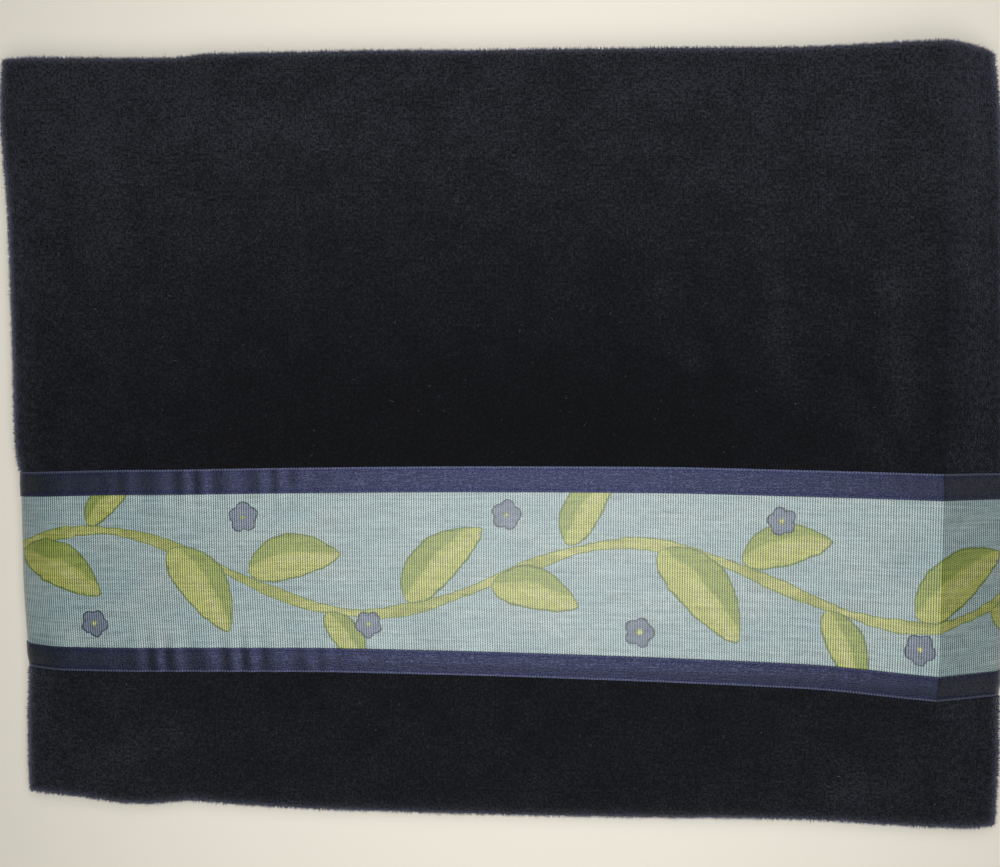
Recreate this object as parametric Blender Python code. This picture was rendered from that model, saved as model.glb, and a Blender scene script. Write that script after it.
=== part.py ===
"""A velvet pouch for a prayer shawl, lying on its back with its mouth at +Y.

Two velvet panels are sewn together along the left side, the bottom and the right side, and the
mouth is left open. A strip of printed cloth crosses the front, and a ribbon covers each of its
long raw edges. Units are metres, +X is the front's right, +Y its top, and +Z points away from
the table that it lies on.
"""

from collections import namedtuple

import bpy
import numpy as np

# Overall size of the pouch as it lies
BAG_WIDTH = 0.363
BAG_HEIGHT = 0.2766
EDGE_THICKNESS = 0.0064
EDGE_ROUND = 0.0040
CROWN_HEIGHT = 0.0135

# Cloth
VELVET_WALL = 0.0012
TURNED_WALL = 0.0022
BAND_WALL = 0.0010
RIBBON_WALL = 0.0010
CLOTH_GAP = 0.0003

# Turned-in edges
SEAM_ALLOWANCE = 0.0200
ALLOWANCE_STEP = 0.0020
ALLOWANCE_RIDGE = 0.0005
MOUTH_HEM = 0.0200

# The strip of printed cloth and its ribbons
BAND_BOTTOM = 0.0622
BAND_WIDTH = 0.0575
BAND_TUCK = 0.0040
RIBBON_WIDTH = 0.0091

# The sharp fold down the right side, over the end of the turned-in seam allowance
CREASE_INSET = 0.0258

# How the outline leaves its box, as shares of the width, from the bottom up
SideRow = namedtuple("SideRow", "up left_in right_in")
SIDES = [
    SideRow(0.00, 0.0163, 0.0030),
    SideRow(0.10, 0.0168, 0.0008),
    SideRow(0.19, 0.0262, 0.0069),
    SideRow(0.32, 0.0212, 0.0063),
    SideRow(0.44, 0.0223, 0.0063),
    SideRow(0.51, 0.0094, 0.0036),
    SideRow(0.62, 0.0074, 0.0047),
    SideRow(0.80, 0.0050, 0.0099),
    SideRow(0.93, 0.0005, 0.0154),
    SideRow(1.00, 0.0044, 0.0223),
]

# How the bottom, the sewn lines and the mouth leave straight lines, as shares of the height,
# from left to right. The last two rows shape the cut corner at the right of the mouth.
LineRow = namedtuple("LineRow", "across bottom_in lower_line upper_line mouth_in")
LINES = [
    LineRow(0.00, 0.0155, 0.0000, -0.0120, 0.0020),
    LineRow(0.05, 0.0110, -0.0005, -0.0090, 0.0035),
    LineRow(0.12, 0.0010, -0.0010, -0.0065, 0.0050),
    LineRow(0.18, 0.0065, -0.0010, -0.0050, 0.0050),
    LineRow(0.22, 0.0050, -0.0010, -0.0040, 0.0025),
    LineRow(0.35, 0.0015, -0.0005, -0.0010, 0.0035),
    LineRow(0.50, 0.0015, 0.0000, 0.0015, 0.0065),
    LineRow(0.65, 0.0030, 0.0000, 0.0025, 0.0100),
    LineRow(0.80, 0.0060, -0.0025, 0.0000, 0.0140),
    LineRow(0.93, 0.0010, -0.0110, -0.0030, 0.0100),
    LineRow(0.97, 0.0005, -0.0130, -0.0050, 0.0110),
    LineRow(1.00, 0.0035, -0.0140, -0.0060, 0.0205),
]

# How high the front stands above its seamed edge, as shares of CROWN_HEIGHT, a row for each
# section from the bottom up. The columns stand at these shares of the width.
Section = namedtuple("Section", "up left shoulder left_middle middle right_middle crease")
ACROSS = [0.0, 0.045, 0.25, 0.50, 0.78]
SECTIONS = [
    Section(0.00, 0.0, 0.00, 0.00, 0.00, 0.00, 0.00),
    Section(0.05, 0.0, 0.10, 0.12, 0.14, 0.16, 0.18),
    Section(0.12, 0.0, 0.22, 0.30, 0.34, 0.42, 0.52),
    Section(0.25, 0.0, 0.34, 0.48, 0.56, 0.74, 0.96),
    Section(0.42, 0.0, 0.36, 0.54, 0.64, 0.80, 1.00),
    Section(0.65, 0.0, 0.32, 0.50, 0.60, 0.76, 0.92),
    Section(0.85, 0.0, 0.24, 0.36, 0.44, 0.56, 0.74),
    Section(1.00, 0.0, 0.14, 0.20, 0.24, 0.34, 0.52),
]
CREASE_FALL = 0.85

# Soft folds of the front: a low ridge along a line, in shares of the width and height
Fold = namedtuple("Fold", "across0 up0 across1 up1 half_width rise")
FOLDS = [
    Fold(0.76, 0.75, 0.78, 0.58, 0.016, 0.050),
    Fold(0.87, 0.70, 0.89, 0.54, 0.014, 0.060),
    Fold(0.84, 0.56, 0.87, 0.48, 0.012, 0.045),
    Fold(0.84, 0.05, 0.90, 0.06, 0.016, 0.050),
    Fold(0.08, 0.06, 0.16, 0.10, 0.018, -0.045),
    Fold(0.24, 0.92, 0.33, 0.90, 0.018, -0.045),
]

# Finishes: base colour, roughness
FINISHES = {
    "velvet": ((0.012, 0.014, 0.022), 0.95),
    "printed_cloth": ((0.42, 0.58, 0.62), 0.85),
    "ribbon": ((0.045, 0.050, 0.120), 0.60),
}

RIM_LIFT = (EDGE_THICKNESS + CLOTH_GAP) / 2
EDGE_RISE = (EDGE_THICKNESS - CLOTH_GAP) / 2
LEFT = -BAG_WIDTH / 2
RIGHT = BAG_WIDTH / 2
BOTTOM = -BAG_HEIGHT / 2
TOP = BAG_HEIGHT / 2
CREASE_X = RIGHT - CREASE_INSET
BAND_Y0 = BOTTOM + BAND_BOTTOM
BAND_Y1 = BAND_Y0 + BAND_WIDTH


def smooth(stations, values, at):
    """A curve through a table's values that never overshoots them: a cubic on each stretch,
    with each slope the harmonic mean of its neighbours', and flat where they change sign."""
    stations, values = np.asarray(stations, float), np.asarray(values, float)
    step = np.diff(stations)
    slope = np.diff(values, axis=0) / step.reshape(-1, *[1] * (values.ndim - 1))
    before, after = slope[:-1], slope[1:]
    turning = before * after <= 0
    safe = np.where(turning, 1.0, before + after)
    inner = np.where(turning, 0.0, 2 * before * after / safe)
    tangent = np.concatenate([slope[:1], inner, slope[-1:]])
    k = np.clip(np.searchsorted(stations, at) - 1, 0, len(step) - 1)
    shape = (-1, *[1] * (values.ndim - 1))
    width = step[k].reshape(shape)
    t = (np.clip(at, stations[0], stations[-1]) - stations[k]).reshape(shape) / width
    rise = values[k + 1] - values[k]
    start, end = tangent[k] * width, tangent[k + 1] * width
    return values[k] + t * (start + t * (3 * rise - 2 * start - end + t * (start + end - 2 * rise)))


def column(table, name):
    return [getattr(row, name) for row in table]


def line_shift(across, y):
    """How far a point moves along Y so that the bottom, both ribbons and the mouth follow LINES.
    A ribbon moves as one, and the cloth between two lines shares out their difference."""
    where = column(LINES, "across")
    bottom = smooth(where, column(LINES, "bottom_in"), across) * BAG_HEIGHT
    lower = smooth(where, column(LINES, "lower_line"), across) * BAG_HEIGHT
    upper = smooth(where, column(LINES, "upper_line"), across) * BAG_HEIGHT
    mouth = -smooth(where, column(LINES, "mouth_in"), across) * BAG_HEIGHT
    stops = [BOTTOM, BOTTOM + EDGE_ROUND, BAND_Y0 - RIBBON_WIDTH, BAND_Y0,
             BAND_Y1, BAND_Y1 + RIBBON_WIDTH, TOP]
    shifts = np.stack([bottom, bottom, lower, lower, upper, upper, mouth], axis=1)
    return np.stack([np.interp(y, stops, shifts[i]) for i in range(len(across))], axis=1)


def side_shift(x, up):
    """How far a point moves along X so that the left and right sides follow SIDES.
    The crease stays straight, and the cloth on either side of it takes up the difference."""
    where = column(SIDES, "up")
    left = smooth(where, column(SIDES, "left_in"), up) * BAG_WIDTH
    right = -smooth(where, column(SIDES, "right_in"), up) * BAG_WIDTH
    stops = [LEFT, LEFT + EDGE_ROUND, CREASE_X, RIGHT - EDGE_ROUND, RIGHT]
    shifts = np.stack([left, left, 0 * left, right, right], axis=1)
    return np.stack([np.interp(x, stops, shifts[j]) for j in range(len(up))], axis=0)


def crown(x, y):
    """How high the front stands above its seamed edge, on a grid of nominal x and y.
    Left of the crease it follows SECTIONS, and right of it the side falls away to the seam."""
    across, up = x / BAG_WIDTH + 0.5, y / BAG_HEIGHT + 0.5
    stations = [*ACROSS, CREASE_X / BAG_WIDTH + 0.5]
    heights = np.array([row[1:] for row in SECTIONS])
    rows = smooth(column(SECTIONS, "up"), heights, up)
    table = smooth(stations, rows.T, np.minimum(across, stations[-1])).T
    to_edge = np.clip((RIGHT - x) / CREASE_INSET, 0.0, 1.0) ** CREASE_FALL
    return table * to_edge * CROWN_HEIGHT


def fold_relief(x, y):
    """The low ridges and hollows of FOLDS: each fades with the distance from its line, as a
    bell curve, and so does the ridge over the end of the left seam allowance."""
    grid_x, grid_y = np.meshgrid(x, y)
    relief = np.zeros(grid_x.shape)
    for fold in FOLDS:
        start = np.array([(fold.across0 - 0.5) * BAG_WIDTH, (fold.up0 - 0.5) * BAG_HEIGHT])
        end = np.array([(fold.across1 - 0.5) * BAG_WIDTH, (fold.up1 - 0.5) * BAG_HEIGHT])
        along = end - start
        t = ((grid_x - start[0]) * along[0] + (grid_y - start[1]) * along[1]) / (along @ along)
        t = np.clip(t, 0.0, 1.0)
        away = np.hypot(grid_x - start[0] - t * along[0], grid_y - start[1] - t * along[1])
        bell = np.exp(-((away / (fold.half_width * BAG_WIDTH)) ** 2))
        relief += bell * fold.rise * CROWN_HEIGHT
    ridge = np.exp(-(((grid_x - LEFT - SEAM_ALLOWANCE) / (1.5 * ALLOWANCE_STEP)) ** 2))
    fade = np.clip((grid_y - BOTTOM) / SEAM_ALLOWANCE, 0.0, 1.0)
    return relief + ridge * fade * ALLOWANCE_RIDGE


def edge_reach(x, y):
    """The rounding along the seams: 0 on a seam, 1 from EDGE_ROUND inwards, a quarter circle."""
    side = np.minimum(x - LEFT, RIGHT - x) / EDGE_ROUND
    foot = (y - BOTTOM) / EDGE_ROUND
    side, foot = (np.sqrt(1 - (1 - np.clip(s, 0.0, 1.0)) ** 2) for s in (side, foot))
    return np.outer(foot, side)


def plan(x, y, depth):
    """Where the grid lies on the table. A skin that lies deeper in the cloth has its seamed
    edges further in, and one that lies on top of the cloth has them further out."""
    def inset(distance):
        return np.clip(1 - distance / EDGE_ROUND, 0.0, 1.0)

    grid_x = x + depth * (inset(x - LEFT) - inset(RIGHT - x))
    grid_y = y[:, None] + depth * inset(y - BOTTOM)[:, None]
    grid_x = grid_x + side_shift(x, y / BAG_HEIGHT + 0.5)
    grid_y = grid_y + line_shift(x / BAG_WIDTH + 0.5, y)
    return np.broadcast_arrays(grid_x, grid_y)


def front_skin(x, y, depth):
    """A surface of the front at a depth below the velvet's outer face, on stations x and y."""
    depth = np.broadcast_to(depth, (len(y), len(x)))
    grid_x, grid_y = plan(x, y, depth)
    reach = edge_reach(x, y)
    height = RIM_LIFT + (EDGE_RISE - depth) * reach + crown(x, y) + fold_relief(x, y) * reach
    return np.stack([grid_x, grid_y, height], axis=2)


def back_skin(x, y, depth):
    """A surface of the back, which is flat on the table inside its rounded seams."""
    depth = np.broadcast_to(depth, (len(y), len(x)))
    grid_x, grid_y = plan(x, y, depth)
    height = EDGE_RISE - (EDGE_RISE - depth) * edge_reach(x, y)
    return np.stack([grid_x, grid_y, height], axis=2)


def velvet_depth(x, y):
    """The velvet's wall: thicker where a seam allowance or the mouth's hem is turned in."""
    def turned(distance, width):
        return np.clip((width + ALLOWANCE_STEP - distance) / ALLOWANCE_STEP, 0.0, 1.0)

    side = np.maximum(turned(x - LEFT, SEAM_ALLOWANCE), np.where(x >= CREASE_X, 1.0, 0.0))
    end = np.maximum(turned(y - BOTTOM, SEAM_ALLOWANCE), turned(TOP - y, MOUTH_HEM))
    double = np.maximum(side[None, :], end[:, None])
    return VELVET_WALL + (TURNED_WALL - VELVET_WALL) * double


def between(start, end, cells):
    return list(np.linspace(start, end, cells + 1)[1:-1])


def cross_stations(cells):
    """Columns of the grid: close together on the rounded seams and by the crease."""
    rounding = [share * EDGE_ROUND for share in (0.0, 0.12, 0.45, 1.0)]
    left_end = LEFT + SEAM_ALLOWANCE + ALLOWANCE_STEP
    near_crease = CREASE_X - ALLOWANCE_STEP
    return np.array(
        [LEFT + r for r in rounding]
        + between(LEFT + EDGE_ROUND, LEFT + SEAM_ALLOWANCE, 3)
        + [LEFT + SEAM_ALLOWANCE, left_end]
        + between(left_end, near_crease, cells)
        + [near_crease, CREASE_X]
        + between(CREASE_X, RIGHT - EDGE_ROUND, 3)
        + [RIGHT - r for r in reversed(rounding)]
    )


def upright_stations(foot_cells, band_cells, field_cells):
    """Rows of the grid, from the bottom seam to the mouth, with a row on each sewn line."""
    rounding = [share * EDGE_ROUND for share in (0.0, 0.12, 0.45, 1.0)]
    foot_end = BOTTOM + SEAM_ALLOWANCE + ALLOWANCE_STEP
    hem = TOP - MOUTH_HEM
    ribbon_low, ribbon_high = BAND_Y0 - RIBBON_WIDTH, BAND_Y1 + RIBBON_WIDTH
    return np.array(
        [BOTTOM + r for r in rounding]
        + between(BOTTOM + EDGE_ROUND, BOTTOM + SEAM_ALLOWANCE, 3)
        + [BOTTOM + SEAM_ALLOWANCE, foot_end]
        + between(foot_end, ribbon_low, foot_cells)
        + [ribbon_low, BAND_Y0 - BAND_TUCK, BAND_Y0]
        + between(BAND_Y0, BAND_Y1, band_cells)
        + [BAND_Y1, BAND_Y1 + BAND_TUCK, ribbon_high]
        + between(ribbon_high, hem - ALLOWANCE_STEP, field_cells)
        + [hem - ALLOWANCE_STEP, hem]
        + between(hem, TOP, 2)
        + [TOP]
    )


def closed_shell(name, over, under, finish):
    """One solid between two grids of the same shape, with a strip of faces round their rims.
    Each cell is cut in two, towards the nearer end, so that the cut meets a rounded corner."""
    rows, columns = over.shape[:2]
    index = np.arange(rows * columns).reshape(rows, columns)
    a, b, c, d = index[:-1, :-1], index[:-1, 1:], index[1:, 1:], index[1:, :-1]
    rising, falling = np.stack([a, b, c, a, c, d], axis=2), np.stack([a, b, d, b, c, d], axis=2)
    left = np.arange(columns - 1)[None, :, None] < columns // 2
    cells = np.where(left, rising, falling).reshape(-1, 3)
    near = np.array([*index[0, :-1], *index[:-1, -1], *index[-1, :0:-1], *index[:0:-1, 0]])
    far, lower = np.roll(near, -1), rows * columns
    strip = [np.stack([near, near + lower, far], axis=1),
             np.stack([far, near + lower, far + lower], axis=1)]
    faces = np.concatenate([cells, cells[:, ::-1] + lower, *strip])
    mesh = bpy.data.meshes.new(name)
    points = np.concatenate([over.reshape(-1, 3), under.reshape(-1, 3)])
    mesh.from_pydata(points.tolist(), [], faces.tolist())
    mesh.shade_smooth()
    mesh.set_sharp_from_angle(angle=np.radians(40))
    mesh.materials.append(finish)
    made = bpy.data.objects.new(name, mesh)
    bpy.context.scene.collection.objects.link(made)
    return made


def make_finish(name):
    colour, roughness = FINISHES[name]
    material = bpy.data.materials.new(name)
    material.use_nodes = True
    shader = material.node_tree.nodes["Principled BSDF"]
    shader.inputs["Base Color"].default_value = (*colour, 1.0)
    shader.inputs["Roughness"].default_value = roughness
    shader.inputs["Metallic"].default_value = 0.0
    return material


def make_panels(velvet):
    """The front, which is domed, and the back, which lies flat, meet along the seams."""
    x, y = cross_stations(18), upright_stations(3, 5, 8)
    closed_shell("front_panel", front_skin(x, y, 0.0), front_skin(x, y, velvet_depth(x, y)), velvet)
    x, y = cross_stations(6), upright_stations(1, 1, 3)
    closed_shell("back_panel", back_skin(x, y, velvet_depth(x, y)), back_skin(x, y, 0.0), velvet)


def make_band(cloth):
    """The printed strip lies on the velvet, with its raw edges tucked under the ribbons."""
    x = cross_stations(18)
    y = np.array(
        [BAND_Y0 - BAND_TUCK, BAND_Y0]
        + between(BAND_Y0, BAND_Y1, 5)
        + [BAND_Y1, BAND_Y1 + BAND_TUCK]
    )
    over = front_skin(x, y, -CLOTH_GAP - BAND_WALL)
    closed_shell("print_band", over, front_skin(x, y, -CLOTH_GAP), cloth)


def make_ribbon(name, inner_edge, outward, satin):
    """A ribbon lies on the velvet along its outer edge and steps up onto the printed strip.
    inner_edge is where the strip comes out from under it, and outward is +1 or -1 along Y."""
    x = cross_stations(18)
    on_band = CLOTH_GAP + BAND_WALL + CLOTH_GAP
    step_top = BAND_TUCK + CLOTH_GAP
    step_foot = step_top + on_band - CLOTH_GAP
    reach = np.array([0.0, step_top, step_foot, RIBBON_WIDTH])
    lift = np.array([on_band, on_band, CLOTH_GAP, CLOTH_GAP])
    if outward > 0:
        y = inner_edge + reach
    else:
        y, lift = inner_edge - reach[::-1], lift[::-1]
    under = front_skin(x, y, -lift[:, None])
    over = front_skin(x, y, -lift[:, None] - RIBBON_WALL)
    closed_shell(name, over, under, satin)


def main():
    for old in list(bpy.data.objects):
        bpy.data.objects.remove(old, do_unlink=True)
    make_panels(make_finish("velvet"))
    make_band(make_finish("printed_cloth"))
    satin = make_finish("ribbon")
    make_ribbon("upper_ribbon", BAND_Y1, 1, satin)
    make_ribbon("lower_ribbon", BAND_Y0, -1, satin)


main()
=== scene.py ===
# %% [markdown]
# # A velvet pouch for a prayer shawl
# This lesson dresses a pouch that lies on its back on a table. The pouch is two velvet panels
# sewn round three sides, and a strip of printed cotton crosses its front, with a satin ribbon
# sewn over each raw edge. Every surface here is worked out with numpy as a function of two
# cloth coordinates, x along the pouch and y up it, because cloth that is sewn together shares
# one form, and one function can then carry every layer of it.

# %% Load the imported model
from collections import namedtuple

import bpy
import numpy as np
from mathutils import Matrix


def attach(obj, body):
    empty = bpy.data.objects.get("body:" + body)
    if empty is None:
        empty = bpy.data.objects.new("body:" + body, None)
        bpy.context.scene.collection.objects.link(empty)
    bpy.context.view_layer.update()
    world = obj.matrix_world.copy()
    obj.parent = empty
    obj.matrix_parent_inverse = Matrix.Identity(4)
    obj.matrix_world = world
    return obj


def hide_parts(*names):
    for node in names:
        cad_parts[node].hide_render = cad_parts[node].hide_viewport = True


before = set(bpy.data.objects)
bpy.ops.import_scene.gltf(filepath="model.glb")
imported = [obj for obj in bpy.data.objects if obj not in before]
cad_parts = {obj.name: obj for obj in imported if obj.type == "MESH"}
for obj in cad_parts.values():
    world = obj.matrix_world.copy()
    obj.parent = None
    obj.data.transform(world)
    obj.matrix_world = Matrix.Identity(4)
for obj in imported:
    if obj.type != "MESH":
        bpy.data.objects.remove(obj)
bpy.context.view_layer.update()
print("nodes:", sorted(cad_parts))


# %% [markdown]
# ## The sizes of the pouch
# The visible cloth has to lie where the solids lie, so this cell repeats the sizes that they
# were built from. Lengths are in metres. The tables hold shares of the width and the height,
# which keeps a dent or a bulge in its place if the pouch is made larger.

# %% Named sizes
BAG_WIDTH, BAG_HEIGHT = 0.363, 0.2766
EDGE_THICKNESS, EDGE_ROUND, CROWN_HEIGHT, CLOTH_GAP = 0.0064, 0.0040, 0.0135, 0.0003
BAND_BOTTOM, BAND_WIDTH, BAND_TUCK, RIBBON_WIDTH = 0.0622, 0.0575, 0.0040, 0.0091
SEAM_ALLOWANCE, MOUTH_HEM, CREASE_INSET, CREASE_FALL = 0.0200, 0.0200, 0.0278, 1.10

LEFT, RIGHT = -BAG_WIDTH / 2, BAG_WIDTH / 2
BOTTOM, TOP = -BAG_HEIGHT / 2, BAG_HEIGHT / 2
BAND_Y0 = BOTTOM + BAND_BOTTOM
BAND_Y1 = BAND_Y0 + BAND_WIDTH
CREASE_X = RIGHT - CREASE_INSET
RIM_LIFT = (EDGE_THICKNESS + CLOTH_GAP) / 2
EDGE_RISE = (EDGE_THICKNESS - CLOTH_GAP) / 2
MM = 0.001

SideRow = namedtuple("SideRow", "up left_in right_in")
SIDES = [
    SideRow(0.00, 0.0183, 0.0030),
    SideRow(0.10, 0.0184, 0.0008),
    SideRow(0.19, 0.0203, 0.0020),
    SideRow(0.32, 0.0165, 0.0010),
    SideRow(0.44, 0.0160, 0.0010),
    SideRow(0.51, 0.0100, 0.0015),
    SideRow(0.62, 0.0094, 0.0040),
    SideRow(0.80, 0.0072, 0.0090),
    SideRow(0.93, 0.0015, 0.0148),
    SideRow(1.00, 0.0044, 0.0215),
]
LineRow = namedtuple("LineRow", "across bottom_in lower_line upper_line mouth_in")
LINES = [
    LineRow(0.00, 0.0140, -0.0028, -0.0133, 0.0020),
    LineRow(0.05, 0.0085, -0.0031, -0.0104, 0.0035),
    LineRow(0.12, 0.0005, -0.0023, -0.0075, 0.0062),
    LineRow(0.18, 0.0068, -0.0004, -0.0062, 0.0075),
    LineRow(0.22, 0.0036, 0.0008, -0.0048, 0.0035),
    LineRow(0.35, -0.0003, 0.0037, -0.0012, 0.0035),
    LineRow(0.50, -0.0004, 0.0032, 0.0015, 0.0062),
    LineRow(0.65, 0.0018, 0.0012, 0.0025, 0.0082),
    LineRow(0.80, 0.0048, -0.0022, 0.0000, 0.0118),
    LineRow(0.93, 0.0000, -0.0128, -0.0030, 0.0095),
    LineRow(0.97, -0.0006, -0.0148, -0.0042, 0.0112),
    LineRow(1.00, 0.0035, -0.0158, -0.0050, 0.0165),
]
Section = namedtuple("Section", "up left shoulder left_middle middle right_middle crease")
ACROSS = [0.0, 0.045, 0.25, 0.50, 0.78]
SECTIONS = [
    Section(0.00, 0.0, 0.00, 0.00, 0.00, 0.00, 0.00),
    Section(0.05, 0.0, 0.10, 0.12, 0.14, 0.16, 0.18),
    Section(0.12, 0.0, 0.22, 0.30, 0.34, 0.42, 0.52),
    Section(0.25, 0.0, 0.34, 0.48, 0.56, 0.74, 0.96),
    Section(0.42, 0.0, 0.36, 0.54, 0.64, 0.80, 1.00),
    Section(0.65, 0.0, 0.32, 0.50, 0.60, 0.76, 0.92),
    Section(0.85, 0.0, 0.24, 0.36, 0.44, 0.56, 0.74),
    Section(1.00, 0.0, 0.14, 0.20, 0.24, 0.34, 0.52),
]
print(f"pouch {BAG_WIDTH * 1000:.0f} x {BAG_HEIGHT * 1000:.0f} mm")


# %% [markdown]
# ## The form of the cloth
# A sewn pouch has no flat faces, but its form is simple: an outline that leaves its box a
# little, a low crown, and soft folds. A smooth curve through each table's values gives the
# long forms. The curve must not overshoot, or a dent beside a bulge would grow by itself, so
# each slope is the harmonic mean of its neighbours'.

# %% Curves through the tables
def smooth(stations, values, at):
    """A cubic on each stretch between stations, with slopes that are the harmonic mean of the
    neighbours' slopes, and flat where those change sign."""
    stations, values = np.asarray(stations, float), np.asarray(values, float)
    step = np.diff(stations)
    slope = np.diff(values, axis=0) / step.reshape(-1, *[1] * (values.ndim - 1))
    before, after = slope[:-1], slope[1:]
    turning = before * after <= 0
    inner = np.where(turning, 0.0, 2 * before * after / np.where(turning, 1.0, before + after))
    tangent = np.concatenate([slope[:1], inner, slope[-1:]])
    k = np.clip(np.searchsorted(stations, at) - 1, 0, len(step) - 1)
    shape = (-1, *[1] * (values.ndim - 1))
    width = step[k].reshape(shape)
    t = (np.clip(at, stations[0], stations[-1]) - stations[k]).reshape(shape) / width
    rise = values[k + 1] - values[k]
    start, end = tangent[k] * width, tangent[k + 1] * width
    return values[k] + t * (start + t * (3 * rise - 2 * start - end + t * (start + end - 2 * rise)))


def ease(t):
    """Runs from 0 to 1 with level ends: three t squared less two t cubed."""
    t = np.clip(t, 0.0, 1.0)
    return t * t * (3 - 2 * t)


def column(table, name):
    return [getattr(row, name) for row in table]


# %% How the outline and the sewn lines leave straight lines
def line_shift(across, y):
    """Moves points along Y so that the bottom, the ribbons and the mouth follow LINES."""
    where = column(LINES, "across")
    bottom, lower, upper, mouth = (
        smooth(where, column(LINES, name), across) * BAG_HEIGHT
        for name in ("bottom_in", "lower_line", "upper_line", "mouth_in")
    )
    stops = [BOTTOM, BOTTOM + EDGE_ROUND, BAND_Y0 - RIBBON_WIDTH, BAND_Y0,
             BAND_Y1, BAND_Y1 + RIBBON_WIDTH, TOP]
    shifts = np.stack([bottom, bottom, lower, lower, upper, upper, -mouth], axis=1)
    return np.stack([np.interp(y, stops, shifts[i]) for i in range(len(across))], axis=1)


def side_shift(x, up):
    """Moves points along X so that the left and right sides follow SIDES."""
    where = column(SIDES, "up")
    left = smooth(where, column(SIDES, "left_in"), up) * BAG_WIDTH
    right = -smooth(where, column(SIDES, "right_in"), up) * BAG_WIDTH
    stops = [LEFT, LEFT + EDGE_ROUND, CREASE_X, RIGHT - EDGE_ROUND, RIGHT]
    shifts = np.stack([left, left, 0 * left, right, right], axis=1)
    return np.stack([np.interp(x, stops, shifts[j]) for j in range(len(up))], axis=0)


def plan(x, y, depth):
    """Where the grid lies on the table. A deeper layer has its seamed edges further in."""
    def inset(distance):
        return np.clip(1 - distance / EDGE_ROUND, 0.0, 1.0)

    grid_x = x + depth * (inset(x - LEFT) - inset(RIGHT - x)) + side_shift(x, y / BAG_HEIGHT + 0.5)
    grid_y = y[:, None] + depth * inset(y - BOTTOM)[:, None] + line_shift(x / BAG_WIDTH + 0.5, y)
    return np.broadcast_arrays(grid_x, grid_y)


# %% The crown of the front
CREASE_SOFT, SOFT_FROM_STRIP = 0.14, 0.014


def crown(x, y):
    """The height of the front above its seamed edge: a smooth table of sections left of the
    crease, and a side that falls away to the seam right of it. The crease is sharp under
    the strip, and further up and down a root of squares makes it round."""
    across, up = x / BAG_WIDTH + 0.5, y / BAG_HEIGHT + 0.5
    stations = [*ACROSS, CREASE_X / BAG_WIDTH + 0.5]
    rows = smooth(column(SECTIONS, "up"), np.array([row[1:] for row in SECTIONS]), up)
    table = smooth(stations, rows.T, np.minimum(across, stations[-1])).T
    from_strip = np.maximum(BAND_Y0 - RIBBON_WIDTH - y, y - BAND_Y1 - RIBBON_WIDTH)
    soft = CREASE_SOFT * ease(from_strip / SOFT_FROM_STRIP)[:, None]
    past = 1 - (RIGHT - x) / CREASE_INSET
    past = (past + np.sqrt(past ** 2 + soft ** 2)) / 2
    return table * np.clip(1 - past, 0.0, 1.0) ** CREASE_FALL * CROWN_HEIGHT


def edge_reach(x, y):
    """The rounding along the seams: a quarter circle from 0 at a seam to 1 further in."""
    side = np.minimum(x - LEFT, RIGHT - x) / EDGE_ROUND
    foot = (y - BOTTOM) / EDGE_ROUND
    side, foot = (np.sqrt(1 - (1 - np.clip(s, 0.0, 1.0)) ** 2) for s in (side, foot))
    return np.outer(foot, side)


# %% [markdown]
# ## Folds, dents and puckers
# Velvet that has been carried about keeps soft dents, and thick seam allowances print through
# as low ridges. Each fold is a bell-shaped ridge along a line. The ribbons were sewn on a
# little tight, so they pucker left of the middle, and the cloth beside them puckers too.

# %% Soft folds
Fold = namedtuple("Fold", "across0 up0 across1 up1 half_width rise")
FOLDS = [
    Fold(0.76, 0.75, 0.78, 0.58, 0.016, 0.050),
    Fold(0.87, 0.70, 0.89, 0.54, 0.014, 0.060),
    Fold(0.84, 0.56, 0.87, 0.48, 0.012, 0.045),
    Fold(0.84, 0.05, 0.90, 0.06, 0.016, 0.050),
    Fold(0.08, 0.06, 0.16, 0.10, 0.018, -0.045),
    Fold(0.24, 0.92, 0.33, 0.90, 0.018, -0.045),
    Fold(0.66, 0.69, 0.69, 0.60, 0.014, 0.030),
    Fold(0.65, 0.95, 0.72, 0.94, 0.015, 0.030),
    Fold(0.950, 0.95, 0.955, 0.52, 0.014, 0.014),
    Fold(0.950, 0.17, 0.955, 0.06, 0.014, 0.014),
]


def fold_relief(x, y):
    """Adds each fold's bell curve of the distance from its line."""
    grid_x, grid_y = np.meshgrid(x, y)
    relief = np.zeros(grid_x.shape)
    for fold in FOLDS:
        start = np.array([(fold.across0 - 0.5) * BAG_WIDTH, (fold.up0 - 0.5) * BAG_HEIGHT])
        end = np.array([(fold.across1 - 0.5) * BAG_WIDTH, (fold.up1 - 0.5) * BAG_HEIGHT])
        along = end - start
        t = ((grid_x - start[0]) * along[0] + (grid_y - start[1]) * along[1]) / (along @ along)
        t = np.clip(t, 0.0, 1.0)
        away = np.hypot(grid_x - start[0] - t * along[0], grid_y - start[1] - t * along[1])
        relief += np.exp(-((away / (fold.half_width * BAG_WIDTH)) ** 2)) * fold.rise * CROWN_HEIGHT
    return relief


# %% Ridges, puckers and the unevenness of hand-pressed cloth
ALLOWANCE_RIDGE = 0.15 * MM
PUCKER_LENGTH = 9.3 * MM
LOWER_PUCKER, UPPER_PUCKER = 0.22 * MM, 0.15 * MM
UNEVEN = 0.10 * MM


def allowance_ridge(x, y):
    """The end of the left seam allowance shows as a ridge that fades out at the bottom."""
    ridge = np.exp(-(((x - LEFT - SEAM_ALLOWANCE) / (3 * MM)) ** 2))
    return np.outer(ease((y - BOTTOM) / SEAM_ALLOWANCE), ridge) * ALLOWANCE_RIDGE


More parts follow.
